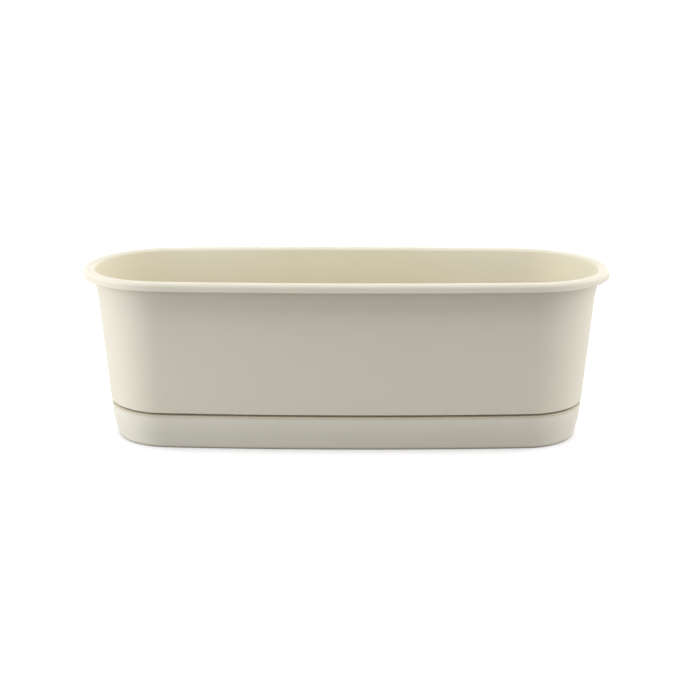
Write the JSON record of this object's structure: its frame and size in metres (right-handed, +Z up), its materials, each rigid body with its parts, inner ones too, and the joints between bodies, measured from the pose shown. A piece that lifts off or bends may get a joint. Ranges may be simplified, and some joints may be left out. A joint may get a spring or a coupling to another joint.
{
  "type": "plant pot",
  "caption": "Oval window-box plant pot with a rolled rim and drain holes, lifting out of a flush drip saucer.",
  "frame": {"origin": "middle of the footprint, on the surface that the saucer stands on", "axes": "+X along the pot's length, +Y across it, +Z up"},
  "size_m": [0.4, 0.138, 0.1327],
  "materials": {
    "saucer_plastic": "satin cream",
    "pot_plastic": "satin cream"
  },
  "bodies": {
    "saucer": {"saucer": "saucer_plastic"},
    "pot": {"pot": "pot_plastic"}
  },
  "joints": [
    {"name": "pot_lift", "type": "slide", "parent": "saucer", "child": "pot", "axis": [0, 0, 1], "range_m": [0, 0.06]}
  ]
}
